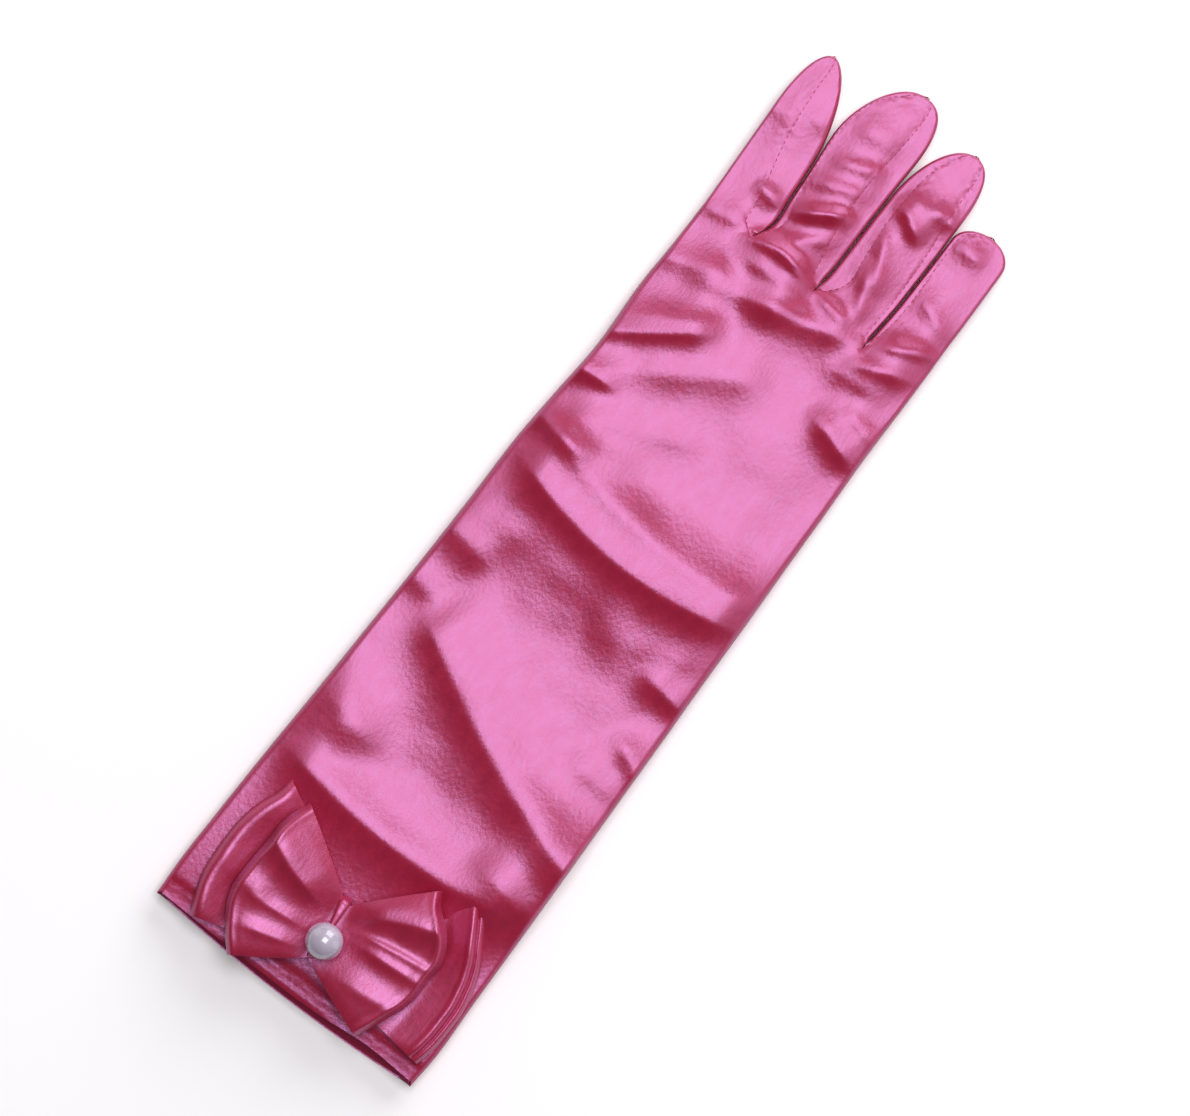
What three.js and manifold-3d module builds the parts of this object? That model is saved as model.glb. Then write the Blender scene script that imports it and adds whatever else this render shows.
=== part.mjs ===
// A long satin dress glove lying on its palm, with a two-layer bow and an imitation pearl.
// Millimetres. +Y runs from the cuff to the fingertips, +X to the little finger, +Z up from the floor.
// Every part is built with the middle of the cuff's edge at the origin and moved at the end.
import * as THREE from 'three'
import { mergeVertices } from 'three/addons/utils/BufferGeometryUtils.js'
import Module from 'manifold-3d'

const wasm = await Module()
wasm.setup()

// Driving dimensions
const SLEEVE_LENGTH = 262 // cuff edge to where the fingers part
const HALF_WIDTH = 48 // half the width of the cuff
const ARM_HEIGHT = 12 // the sleeve's thickness as it lies
const FINGER_LENGTH = 66.5 // the middle finger, from its root to its tip
const FINGER_HEIGHT = 10.2
const FINGER_GAP = 0.6 // slit between two fingers that lie side by side
const THUMB_LENGTH = 52
const THUMB_WIDTH = 20
const THUMB_HEIGHT = 3.6
const CLOTH = 1 // wall of the satin
const CLEARANCE = 0.3 // between two pieces that lie against each other
const CUFF_SLOPE = 3.2 // how far the palm side's edge stands out past the back's
const HEM_DEPTH = 5.5
const FOLD_HEIGHT = 2.6 // the largest gathers across the back of the sleeve
const BOW_Y = 21 // the bow's pinched middle, from the cuff's edge
const BOW_TALL = 52
const BACK_REACH = 44 // half the width of the bow's lower layer
const FRONT_REACH = 32 // half the width of its upper layer
const BACK_PUFF = 2.6 // how far a loop's upper ply stands off its lower ply
const FRONT_PUFF = 5
const BOW_DROOP = 2.4 // how far the loops would sag at the sleeve's sides
const PINCH_LENGTH = 18.5 // the bow's middle, measured along the sleeve
const WRAP_WIDTH = 3.4
const PEARL_DIAMETER = 11.4

// Sections of the sleeve and palm. along: share of SLEEVE_LENGTH. left, right: shares of HALF_WIDTH.
// rise: share of ARM_HEIGHT.
const SLEEVE_SECTIONS = [
  { along: 0.0, left: 0.995, right: 1.0, rise: 0.9 },
  { along: 0.05, left: 1.006, right: 1.014, rise: 0.93 },
  { along: 0.19, left: 0.994, right: 0.992, rise: 0.95 },
  { along: 0.3, left: 0.978, right: 0.975, rise: 1.0 },
  { along: 0.38, left: 0.965, right: 0.958, rise: 1.02 },
  { along: 0.48, left: 0.952, right: 0.944, rise: 1.04 },
  { along: 0.57, left: 0.946, right: 0.923, rise: 1.04 },
  { along: 0.67, left: 0.946, right: 0.908, rise: 1.02 },
  { along: 0.73, left: 0.925, right: 0.896, rise: 1.0 },
  { along: 0.81, left: 0.898, right: 0.883, rise: 1.0 },
  { along: 0.89, left: 0.917, right: 0.867, rise: 0.99 },
  { along: 0.955, left: 0.904, right: 0.863, rise: 0.94 },
  { along: 1.0, left: 0.906, right: 0.86, rise: 0.86 },
]

// Fingers, from the index to the little finger. rootX, tipX, half: shares of HALF_WIDTH.
// reach: share of FINGER_LENGTH. taper: share of the finger that its rounded tip takes.
const FINGERS = [
  { name: 'index', rootX: -0.698, tipX: -0.8, half: 0.21, reach: 0.893, taper: 0.32 },
  { name: 'middle', rootX: -0.25, tipX: -0.205, half: 0.25, reach: 1.0, taper: 0.25 },
  { name: 'ring', rootX: 0.227, tipX: 0.271, half: 0.229, reach: 0.925, taper: 0.27 },
  { name: 'little', rootX: 0.656, tipX: 0.646, half: 0.199, reach: 0.675, taper: 0.15 },
]

// Seams of the gussets between the fingers. Each row is one gusset, whose two legs lie between its
// left and right seam. x: share of HALF_WIDTH, up: share of FINGER_LENGTH from the fingers' roots.
const GUSSETS = [
  {
    name: 'fourchette_index_middle',
    left: [
      { x: -0.58, up: -0.02 },
      { x: -0.64, up: 0.12 },
      { x: -0.72, up: 0.38 },
      { x: -0.755, up: 0.6 },
      { x: -0.765, up: 1.1 },
    ],
    right: [
      { x: -0.42, up: 1.1 },
      { x: -0.425, up: 0.86 },
      { x: -0.465, up: 0.7 },
      { x: -0.44, up: 0.2 },
      { x: -0.48, up: -0.02 },
    ],
  },
  {
    name: 'fourchette_middle_ring',
    left: [
      { x: -0.07, up: -0.03 },
      { x: -0.115, up: 0.15 },
      { x: -0.155, up: 0.42 },
      { x: -0.145, up: 0.7 },
      { x: -0.135, up: 1.1 },
    ],
    right: [
      { x: 0.11, up: 1.1 },
      { x: 0.095, up: 0.7 },
      { x: 0.075, up: 0.42 },
      { x: 0.1, up: 0.15 },
      { x: 0.045, up: -0.03 },
    ],
  },
  {
    name: 'fourchette_ring_little',
    left: [
      { x: 0.42, up: -0.05 },
      { x: 0.395, up: 0.15 },
      { x: 0.385, up: 0.42 },
      { x: 0.35, up: 0.72 },
      { x: 0.37, up: 1.1 },
    ],
    right: [
      { x: 0.5, up: 1.1 },
      { x: 0.5, up: 0.6 },
      { x: 0.49, up: 0.3 },
      { x: 0.5, up: 0.15 },
      { x: 0.48, up: -0.05 },
    ],
  },
]

// Gathers over the back. A crest runs from fromX, fromY to toX, toY, and sag bends its middle towards
// the cuff. The x values are shares of HALF_WIDTH, the y values, sag and the widths shares of
// SLEEVE_LENGTH, and height a share of FOLD_HEIGHT. finger and cuff are the widths of its two slopes.
const FOLDS = [
  { fromX: -0.85, fromY: 0.212, toX: 0.85, toY: 0.214, sag: 0.024, height: 0.75, finger: 0.03, cuff: 0.016 },
  { fromX: -0.72, fromY: 0.428, toX: 0.75, toY: 0.326, sag: 0.016, height: 1.0, finger: 0.028, cuff: 0.05 },
  { fromX: -0.9, fromY: 0.305, toX: -0.3, toY: 0.27, sag: 0.0, height: 0.45, finger: 0.02, cuff: 0.02 },
  { fromX: -0.86, fromY: 0.64, toX: 0.8, toY: 0.632, sag: 0.022, height: 1.0, finger: 0.02, cuff: 0.03 },
  { fromX: 0.5, fromY: 0.515, toX: 0.85, toY: 0.515, sag: 0.0, height: 0.4, finger: 0.02, cuff: 0.015 },
  { fromX: -0.9, fromY: 0.703, toX: -0.2, toY: 0.72, sag: 0.01, height: 0.5, finger: 0.016, cuff: 0.016 },
  { fromX: -0.84, fromY: 0.778, toX: -0.06, toY: 0.87, sag: 0.012, height: 0.7, finger: 0.02, cuff: 0.022 },
  { fromX: -0.82, fromY: 0.83, toX: -0.2, toY: 0.905, sag: 0.012, height: 0.75, finger: 0.018, cuff: 0.018 },
  { fromX: 0.5, fromY: 0.89, toX: 0.78, toY: 0.865, sag: 0.0, height: 0.5, finger: 0.016, cuff: 0.018 },
  { fromX: -0.16, fromY: 0.978, toX: 0.3, toY: 0.985, sag: 0.008, height: 0.5, finger: 0.014, cuff: 0.02 },
]

// Dents across the fingers. x: share of HALF_WIDTH, up: share of FINGER_LENGTH from the fingers' roots,
// depth: share of FINGER_HEIGHT.
const DENTS = [
  { x: -0.77, up: 0.52, depth: 0.1 },
  { x: -0.27, up: 0.5, depth: 0.12 },
  { x: -0.27, up: 0.24, depth: 0.14 },
  { x: 0.2, up: 0.48, depth: 0.1 },
  { x: 0.2, up: 0.2, depth: 0.12 },
  { x: 0.68, up: 0.2, depth: 0.1 },
]

// Outer ends of the bow's loops. across: 0 at the loop's lower corner, 1 at its upper corner.
// The out values are shares of the layer's reach, the up values shares of BOW_TALL from BOW_Y.
const FRONT_LOOPS = [
  { across: 0.0, leftOut: 0.62, leftUp: -0.45, rightOut: 0.8, rightUp: -0.38 },
  { across: 0.16, leftOut: 0.85, leftUp: -0.29, rightOut: 0.94, rightUp: -0.19 },
  { across: 0.34, leftOut: 0.97, leftUp: -0.12, rightOut: 1.03, rightUp: -0.01 },
  { across: 0.54, leftOut: 0.97, leftUp: 0.1, rightOut: 1.03, rightUp: 0.12 },
  { across: 0.74, leftOut: 0.965, leftUp: 0.31, rightOut: 1.02, rightUp: 0.27 },
  { across: 0.88, leftOut: 0.93, leftUp: 0.43, rightOut: 0.87, rightUp: 0.42 },
  { across: 1.0, leftOut: 0.86, leftUp: 0.53, rightOut: 0.63, rightUp: 0.59 },
]
const BACK_LOOPS = [
  { across: 0.0, leftOut: 0.81, leftUp: -0.4, rightOut: 1.01, rightUp: -0.3 },
  { across: 0.16, leftOut: 0.905, leftUp: -0.24, rightOut: 1.05, rightUp: -0.16 },
  { across: 0.34, leftOut: 0.94, leftUp: 0.0, rightOut: 1.066, rightUp: 0.0 },
  { across: 0.54, leftOut: 0.945, leftUp: 0.16, rightOut: 1.045, rightUp: 0.19 },
  { across: 0.74, leftOut: 0.91, leftUp: 0.33, rightOut: 0.96, rightUp: 0.38 },
  { across: 0.88, leftOut: 0.86, leftUp: 0.46, rightOut: 0.85, rightUp: 0.54 },
  { across: 1.0, leftOut: 0.82, leftUp: 0.57, rightOut: 0.75, rightUp: 0.68 },
]

// How finely the surfaces are faceted
const SLEEVE_STATIONS = 46
const SLEEVE_TOP_POINTS = 18
const FINGER_STATIONS = 10
const FINGER_TOP_POINTS = 7
const BOW_AROUND = 24
const BOW_ACROSS = 8

// Value of one column at a place along a table, with a smooth curve through its rows
function column(rows, placeKey, valueKey, place) {
  let i = 0
  while (i < rows.length - 2 && rows[i + 1][placeKey] < place) i += 1
  const here = rows[i]
  const next = rows[i + 1]
  const before = rows[Math.max(i - 1, 0)]
  const after = rows[Math.min(i + 2, rows.length - 1)]
  const span = next[placeKey] - here[placeKey]
  const t = THREE.MathUtils.clamp((place - here[placeKey]) / span, 0, 1)
  const slopeIn = (next[valueKey] - before[valueKey]) / (next[placeKey] - before[placeKey])
  const slopeOut = (after[valueKey] - here[valueKey]) / (after[placeKey] - here[placeKey])
  const rise = next[valueKey] - here[valueKey]
  const curl = t * (1 - t) * ((slopeIn * span - rise) * (1 - t) - (slopeOut * span - rise) * t)
  return here[valueKey] + rise * t + curl
}

function smooth(t) {
  return THREE.MathUtils.smoothstep(t, 0, 1)
}

function bell(distance, width) {
  return Math.exp(-((distance / width) ** 2))
}

// Height that the gathers add to the back of the sleeve
function gathers(x, y) {
  let height = 0
  for (const fold of FOLDS) {
    const fromX = fold.fromX * HALF_WIDTH
    const toX = fold.toX * HALF_WIDTH
    const t = (x - fromX) / (toX - fromX)
    const inside = THREE.MathUtils.clamp(t, 0, 1)
    const arc = 4 * inside * (1 - inside) * fold.sag
    const crest = SLEEVE_LENGTH * (THREE.MathUtils.lerp(fold.fromY, fold.toY, inside) - arc)
    const past = Math.abs(t - inside) * (toX - fromX)
    const slope = SLEEVE_LENGTH * (y > crest ? fold.finger : fold.cuff)
    const ridge = bell(y - crest, slope) - 0.7 * bell(y - crest + 1.6 * slope, slope)
    height += FOLD_HEIGHT * fold.height * ridge * bell(past, 0.15 * HALF_WIDTH)
  }
  return height
}

// Depth of the dents in the fingers
function dents(x, y) {
  let depth = 0
  for (const dent of DENTS) {
    const aside = bell(x - dent.x * HALF_WIDTH, 0.16 * HALF_WIDTH)
    const along = bell(y - SLEEVE_LENGTH - dent.up * FINGER_LENGTH, 0.08 * FINGER_LENGTH)
    depth += dent.depth * FINGER_HEIGHT * aside * along
  }
  return depth
}

// One closed ring of a flattened tube: over the top from left to right, then back along the flat base
const BASE_SHARES = [0.94, 0.7, 0, -0.7, -0.94]
const BASE_LIFT = [0.12, 0, 0, 0, 0.12]
function flatRing({ left, right, bottom, top, topPoints, place }) {
  const middle = (left + right) / 2
  const half = (right - left) / 2
  const waist = bottom + 0.36 * (top - bottom)
  const ring = []
  for (let i = 0; i < topPoints; i += 1) {
    const angle = (Math.PI * i) / (topPoints - 1)
    const across = -Math.cos(angle)
    const lift = Math.sin(angle) ** 0.55
    ring.push(place(middle + half * across, waist + (top - waist) * lift, lift))
  }
  BASE_SHARES.forEach((share, i) => {
    ring.push(place(middle + half * share, bottom + (waist - bottom) * BASE_LIFT[i], 0))
  })
  return ring
}

// Closed surface through rings of equal length, with a fan over each end
function loft(rings) {
  const count = rings[0].length
  const points = rings.flat()
  const faces = []
  for (let r = 0; r < rings.length - 1; r += 1) {
    for (let i = 0; i < count; i += 1) {
      const a = r * count + i
      const b = r * count + ((i + 1) % count)
      faces.push(a, b, a + count, b, b + count, a + count)
    }
  }
  const last = (rings.length - 1) * count
  for (const [start, flip] of [[0, false], [last, true]]) {
    const centre = new THREE.Vector3()
    for (let i = 0; i < count; i += 1) centre.add(points[start + i])
    const hub = points.push(centre.divideScalar(count)) - 1
    for (let i = 0; i < count; i += 1) {
      const a = start + i
      const b = start + ((i + 1) % count)
      faces.push(...(flip ? [hub, a, b] : [hub, b, a]))
    }
  }
  const geometry = new THREE.BufferGeometry().setFromPoints(points)
  geometry.setIndex(faces)
  return geometry
}

// Solid of a closed geometry, ready to be joined and cut
function solid(geometry) {
  const bare = geometry.clone()
  bare.deleteAttribute('normal')
  bare.deleteAttribute('uv')
  const merged = mergeVertices(bare, 1e-5)
  return new wasm.Manifold(
    new wasm.Mesh({
      numProp: 3,
      vertProperties: new Float32Array(merged.attributes.position.array),
      triVerts: new Uint32Array(merged.index.array),
    })
  )
}

function geometryOf(body) {
  const mesh = body.getMesh()
  const geometry = new THREE.BufferGeometry()
  geometry.setAttribute('position', new THREE.BufferAttribute(mesh.vertProperties, 3))
  geometry.setIndex(new THREE.BufferAttribute(mesh.triVerts, 1))
  return geometry
}

// The cuff's edge: the palm side stands out past the back, most of all in the middle
function cuffEdge(x, z) {
  const across = 1 - Math.min(1, Math.abs(x) / HALF_WIDTH) ** 2
  const low = 1 - THREE.MathUtils.clamp(z / ARM_HEIGHT, 0, 1)
  return -CUFF_SLOPE * low * (0.35 + 0.65 * across)
}

// Sleeve and palm as one flattened tube, grown outwards or, below zero, shrunk inwards.
// past lengthens its cuff end, and to is where it ends on the fingers' side.
function sleeve(grow, past, to, stations) {
  const rings = []
  for (let s = 0; s < stations; s += 1) {
    const t = s / (stations - 1)
    const along = t * to
    const share = along / SLEEVE_LENGTH
    rings.push(
      flatRing({
        left: -HALF_WIDTH * column(SLEEVE_SECTIONS, 'along', 'left', share) - grow,
        right: HALF_WIDTH * column(SLEEVE_SECTIONS, 'along', 'right', share) + grow,
        bottom: -grow,
        top: ARM_HEIGHT * column(SLEEVE_SECTIONS, 'along', 'rise', share) + grow,
        topPoints: SLEEVE_TOP_POINTS,
        place: (x, z, lift) => {
          const edge = (1 - smooth(along / (0.1 * SLEEVE_LENGTH))) * cuffEdge(x, z)
          const back = s === 0 ? past : 0
          return new THREE.Vector3(x, along + edge - back, z + lift ** 2 * gathers(x, along))
        },
      })
    )
  }
  return solid(loft(rings))
}

// A finger or the thumb as a flattened tube with a rounded tip, a little narrower at its root
const ROOT_EASE = 0.06
function finger({ rootX, tipX, half, rootY, length, taper, height, grow, past }) {
  const rings = []
  const ends = length + grow
  for (let s = 0; s < FINGER_STATIONS; s += 1) {
    const t = Math.sin((0.5 * Math.PI * s) / (FINGER_STATIONS - 1)) * 0.995
    const tip = Math.max(0, (t - 1 + taper) / taper)
    const narrow = Math.sqrt(1 - tip ** 2.4)
    const middle = THREE.MathUtils.lerp(rootX, tipX, t ** 4)
    const y = rootY - (s === 0 ? past : 0) + t * ends
    const wide = Math.max(0.4, (half + grow) * narrow - ROOT_EASE * half * (1 - smooth(5 * t)))
    const top = (height + grow) * (0.45 + 0.55 * narrow)
    rings.push(
      flatRing({
        left: middle - wide,
        right: middle + wide,
        bottom: -grow * narrow + 0.2 * height * (1 - narrow),
        top,
        topPoints: FINGER_TOP_POINTS,
        place: (x, z, lift) => new THREE.Vector3(x, y, z - lift ** 2 * dents(x, y)),
      })
    )
  }
  return solid(loft(rings))
}

// The four fingers, grown or shrunk like the sleeve
const ROOT_OVERLAP = 14 // how far a finger's tube starts inside the palm
function fingers(grow) {
  return FINGERS.map((row) =>
    finger({
      rootX: row.rootX * HALF_WIDTH,
      tipX: row.tipX * HALF_WIDTH,
      half: row.half * HALF_WIDTH - FINGER_GAP / 2,
      rootY: SLEEVE_LENGTH - ROOT_OVERLAP,
      length: row.reach * FINGER_LENGTH + ROOT_OVERLAP,
      taper: row.taper,
      height: FINGER_HEIGHT,
      grow,
      past: 0,
    })
  )
}

// The thumb, tucked flat under the palm
const THUMB_X = -0.468 * HALF_WIDTH
const THUMB_ROOT = SLEEVE_LENGTH - 1.2 * THUMB_LENGTH
function thumbBody(grow, past) {
  return finger({
    rootX: THUMB_X,
    tipX: THUMB_X + 0.06 * HALF_WIDTH,
    half: THUMB_WIDTH / 2,
    rootY: THUMB_ROOT,
    length: THUMB_LENGTH,
    taper: 0.34,
    height: THUMB_HEIGHT,
    grow,
    past,
  })
}

// Upright prism between a gusset's two seams, drawn in by inset where it cuts the gusset itself
function gussetPrism(gusset, inset) {
  const point = (row, side) => {
    const x = row.x * HALF_WIDTH + side * inset
    return new THREE.Vector2(x, SLEEVE_LENGTH + row.up * FINGER_LENGTH)
  }
  const outline = [...gusset.left.map((row) => point(row, 1)), ...gusset.right.map((row) => point(row, -1))]
  outline[0].y += inset
  outline[outline.length - 1].y += inset
  const prism = new THREE.ExtrudeGeometry(new THREE.Shape(outline), {
    depth: 4 * ARM_HEIGHT,
    bevelEnabled: false,
  })
  prism.translate(0, 0, -ARM_HEIGHT)
  return solid(prism)
}

// The satin shell with its hollow, the gussets cut from it and the thumb under it
function buildGlove() {
  const palmEnd = SLEEVE_LENGTH + 1.5 * CLOTH
  const outer = [sleeve(0, 0, palmEnd, SLEEVE_STATIONS), ...fingers(0)]
  const hollow = [sleeve(-CLOTH, 4 * CLOTH, palmEnd - CLOTH, SLEEVE_STATIONS), ...fingers(-CLOTH)]
  const outside = wasm.Manifold.union(outer).subtract(thumbBody(CLEARANCE, CLEARANCE))
  const inside = wasm.Manifold.union(hollow).subtract(
    thumbBody(CLEARANCE + CLOTH, CLEARANCE + CLOTH)
  )
  let shell = outside.subtract(inside).subtract(thumbBody(-CLOTH, 6 * CLOTH))
  const pieces = {}
  for (const gusset of GUSSETS) {
    pieces[gusset.name] = shell.intersect(gussetPrism(gusset, CLEARANCE))
    shell = shell.subtract(gussetPrism(gusset, 0))
  }
  return { hand_and_arm: shell, ...pieces }
}

function buildThumb() {
  return thumbBody(0, 0).subtract(thumbBody(-CLOTH, 2 * CLOTH))
}

// The hem is cloth turned in at the cuff, a band that lies against the inside of the sleeve
function buildHem() {
  const stations = 4
  const band = sleeve(-CLOTH - CLEARANCE, 0, HEM_DEPTH, stations)
  return band.subtract(sleeve(-2 * CLOTH - CLEARANCE, 2 * CLOTH, HEM_DEPTH + 2 * CLOTH, stations))
}

// Cloth of even thickness over a grid of points that closes on itself along its first direction
function clothBand(grid, thickness) {
  const around = grid.length
  const across = grid[0].length
  const skins = [1, -1].map((side) =>
    grid.map((row, i) =>
      row.map((point, j) => {
        const ahead = grid[(i + 1) % around][j].clone().sub(grid[(i - 1 + around) % around][j])
        const aside = row[Math.min(j + 1, across - 1)].clone().sub(row[Math.max(j - 1, 0)])
        const normal = ahead.cross(aside).normalize()
        return point.clone().addScaledVector(normal, (side * thickness) / 2)
      })
    )
  )
  const points = [...skins[0].flat(), ...skins[1].flat()]
  const other = around * across
  const faces = []
  const quad = (a, b, c, d) => faces.push(a, b, c, a, c, d)
  for (let i = 0; i < around; i += 1) {
    const here = i * across
    const next = ((i + 1) % around) * across
    for (let j = 0; j < across - 1; j += 1) {
      quad(here + j, next + j, next + j + 1, here + j + 1)
      quad(other + here + j, other + here + j + 1, other + next + j + 1, other + next + j)
    }
    quad(here, other + here, other + next, next)
    const edge = across - 1
    quad(here + edge, next + edge, other + next + edge, other + here + edge)
  }
  const geometry = new THREE.BufferGeometry().setFromPoints(points)
  geometry.setIndex(faces)
  return geometry
}

// One layer of the bow: a ring of cloth, pinched in the middle, that makes a loop on each side
function bowLayer({ loops, reach, puff, middleZ, outZ }) {
  const pinch = 1.8 * CLOTH
  const grid = []
  for (let i = 0; i < BOW_AROUND; i += 1) {
    const angle = (2 * Math.PI * i) / BOW_AROUND
    const out = Math.abs(Math.cos(angle))
    const upper = Math.sin(angle) > 1e-9 ? 1 : 0
    const side = Math.cos(angle) < 0 ? 'left' : 'right'
    const row = []
    for (let j = 0; j <= BOW_ACROSS; j += 1) {
      const across = j / BOW_ACROSS
      const sign = side === 'left' ? -1 : 1
      const edgeX = sign * reach * column(loops, 'across', `${side}Out`, across)
      const edgeY = BOW_Y + BOW_TALL * column(loops, 'across', `${side}Up`, across)
      const middleY = BOW_Y + PINCH_LENGTH * (across - 0.5)
      const opening = THREE.MathUtils.lerp(pinch, puff, smooth(out / 0.55))
      const closing = Math.sqrt(Math.max(0, 1 - Math.max(0, (out - 0.7) / 0.3) ** 2))
      const pleats = 0.16 * puff * Math.cos(5 * Math.PI * across) * out * (1 - out) * 4
      const base = THREE.MathUtils.lerp(middleZ, outZ, smooth(out / 0.4))
      const x = edgeX * out
      const y = THREE.MathUtils.lerp(middleY, edgeY, out ** 0.85)
      const droop = BOW_DROOP * (x / HALF_WIDTH) ** 4
      row.push(new THREE.Vector3(x, y, base - droop + upper * (opening * closing + pleats)))
    }
    grid.push(row)
  }
  return clothBand(grid, CLOTH)
}

// Heights of the bow, stacked on the back of the sleeve
const BOW_SEAT = ARM_HEIGHT * column(SLEEVE_SECTIONS, 'along', 'rise', BOW_Y / SLEEVE_LENGTH)
const BACK_MIDDLE = BOW_SEAT + 0.1 * FOLD_HEIGHT + CLEARANCE + CLOTH / 2
const BACK_OUT = BACK_MIDDLE
const FRONT_MIDDLE = BACK_MIDDLE + 1.8 * CLOTH + CLOTH + CLEARANCE
const FRONT_OUT = BACK_OUT + 1.17 * BACK_PUFF + CLOTH + CLEARANCE
const WRAP_RISE = (FRONT_PUFF * WRAP_WIDTH) / FRONT_REACH // the loops rise under the strap's two sides
const WRAP_SEAT = FRONT_MIDDLE + 1.8 * CLOTH + CLOTH / 2 + WRAP_RISE + CLEARANCE
const WRAP_TOP = WRAP_SEAT + CLOTH

// The wrap is a strap over the bow's middle that comes down to the sleeve on both sides
function buildWrap() {
  const spread = (BOW_TALL * WRAP_WIDTH) / (2 * FRONT_REACH)
  const inner = PINCH_LENGTH / 2 + spread + CLEARANCE
  const outer = inner + CLOTH
  const foot = BOW_SEAT + 2 * CLEARANCE
  const profile = new THREE.Shape([
    new THREE.Vector2(-outer, foot),
    new THREE.Vector2(-inner, foot),
    new THREE.Vector2(-inner, WRAP_SEAT),
    new THREE.Vector2(inner, WRAP_SEAT),
    new THREE.Vector2(inner, foot),
    new THREE.Vector2(outer, foot),
    new THREE.Vector2(outer, WRAP_TOP - 0.5 * CLOTH),
    new THREE.Vector2(inner, WRAP_TOP),
    new THREE.Vector2(-inner, WRAP_TOP),
    new THREE.Vector2(-outer, WRAP_TOP - 0.5 * CLOTH),
  ])
  const strap = new THREE.ExtrudeGeometry(profile, { depth: WRAP_WIDTH, bevelEnabled: false })
  strap.rotateX(Math.PI / 2)
  strap.rotateZ(Math.PI / 2)
  strap.translate(-WRAP_WIDTH / 2, BOW_Y, 0)
  return strap
}

function buildPearl() {
  const radius = PEARL_DIAMETER / 2
  const pearl = new THREE.SphereGeometry(radius, 14, 10)
  pearl.rotateX(Math.PI / 2)
  pearl.translate(0.02 * HALF_WIDTH, BOW_Y - 0.12 * PINCH_LENGTH, WRAP_TOP + CLEARANCE + radius)
  return pearl
}

// Materials
const satin = (color) => new THREE.MeshStandardMaterial({ color, roughness: 0.35, metalness: 0.1 })
const pearlGloss = new THREE.MeshStandardMaterial({ color: 0xe6dbe6, roughness: 0.15, metalness: 0.2 })

// The glove as a group of named parts, moved so that the middle of its box stands on the floor
const glove = new THREE.Group()
function addPart(name, geometry, material) {
  const mesh = new THREE.Mesh(geometry, material)
  mesh.name = name
  glove.add(mesh)
}

const gloveBodies = buildGlove()
addPart('hand_and_arm', geometryOf(gloveBodies.hand_and_arm), satin(0xb8336a))
for (const gusset of GUSSETS) {
  addPart(gusset.name, geometryOf(gloveBodies[gusset.name]), satin(0xa82c60))
}
addPart('thumb', geometryOf(buildThumb()), satin(0xb0306a))
addPart('cuff_hem', geometryOf(buildHem()), satin(0xa82c60))
addPart(
  'bow_back_layer',
  bowLayer({
    loops: BACK_LOOPS,
    reach: BACK_REACH,
    puff: BACK_PUFF,
    middleZ: BACK_MIDDLE,
    outZ: BACK_OUT,
  }),
  satin(0xa02458)
)
addPart(
  'bow_front_layer',
  bowLayer({
    loops: FRONT_LOOPS,
    reach: FRONT_REACH,
    puff: FRONT_PUFF,
    middleZ: FRONT_MIDDLE,
    outZ: FRONT_OUT,
  }),
  satin(0xc03c78)
)
addPart('bow_centre_wrap', buildWrap(), satin(0xc8488a))
addPart('pearl', buildPearl(), pearlGloss)

const box = new THREE.Box3().setFromObject(glove)
const middle = box.getCenter(new THREE.Vector3())
glove.position.set(-middle.x, -middle.y, -box.min.z)

export default glove
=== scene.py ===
# %% [markdown]
# # A long satin dress glove with a bow and a pearl
# The glove lies on its palm, seen from straight above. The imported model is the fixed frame: every
# piece below is made in that frame, in metres, and stands for one of its nodes.

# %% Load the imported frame
import math

import bmesh
import bpy
import numpy as np
from mathutils import Matrix, Vector, noise
from mathutils.kdtree import KDTree


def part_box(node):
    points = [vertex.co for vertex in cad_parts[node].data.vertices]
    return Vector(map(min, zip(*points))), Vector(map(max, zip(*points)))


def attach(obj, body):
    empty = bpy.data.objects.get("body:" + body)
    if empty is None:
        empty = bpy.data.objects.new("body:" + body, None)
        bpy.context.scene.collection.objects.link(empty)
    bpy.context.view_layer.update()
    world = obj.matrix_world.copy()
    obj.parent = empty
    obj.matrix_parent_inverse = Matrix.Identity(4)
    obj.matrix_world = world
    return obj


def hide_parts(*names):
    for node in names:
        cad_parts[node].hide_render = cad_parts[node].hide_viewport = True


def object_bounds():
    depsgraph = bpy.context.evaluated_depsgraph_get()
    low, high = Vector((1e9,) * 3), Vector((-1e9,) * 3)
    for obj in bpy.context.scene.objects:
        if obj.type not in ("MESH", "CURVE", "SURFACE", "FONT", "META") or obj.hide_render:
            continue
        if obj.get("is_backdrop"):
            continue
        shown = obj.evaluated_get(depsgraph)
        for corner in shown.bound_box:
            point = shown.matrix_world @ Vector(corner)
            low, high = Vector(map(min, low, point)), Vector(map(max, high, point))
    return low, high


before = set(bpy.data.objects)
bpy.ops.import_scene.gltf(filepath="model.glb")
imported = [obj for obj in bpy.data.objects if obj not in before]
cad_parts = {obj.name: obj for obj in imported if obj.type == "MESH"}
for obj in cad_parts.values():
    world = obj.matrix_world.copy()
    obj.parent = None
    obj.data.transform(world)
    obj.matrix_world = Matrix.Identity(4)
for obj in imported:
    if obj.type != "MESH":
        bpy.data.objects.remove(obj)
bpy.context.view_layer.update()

# %% [markdown]
# ## Where things are
# A glove is cut and sewn flat, so its plan is the natural drawing: x across the hand, y from the
# cuff's edge to the fingertips, both in millimetres. One helper carries that plan into the frame.

# %% Plan of the glove
MM = 0.001
HALF_WIDTH = 48.0
CUFF_SLOPE = 3.2
shell_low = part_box("hand_and_arm")[0]
PLAN_X = shell_low.x + 1.006 * HALF_WIDTH * MM
PLAN_Y = shell_low.y + CUFF_SLOPE * MM


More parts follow.
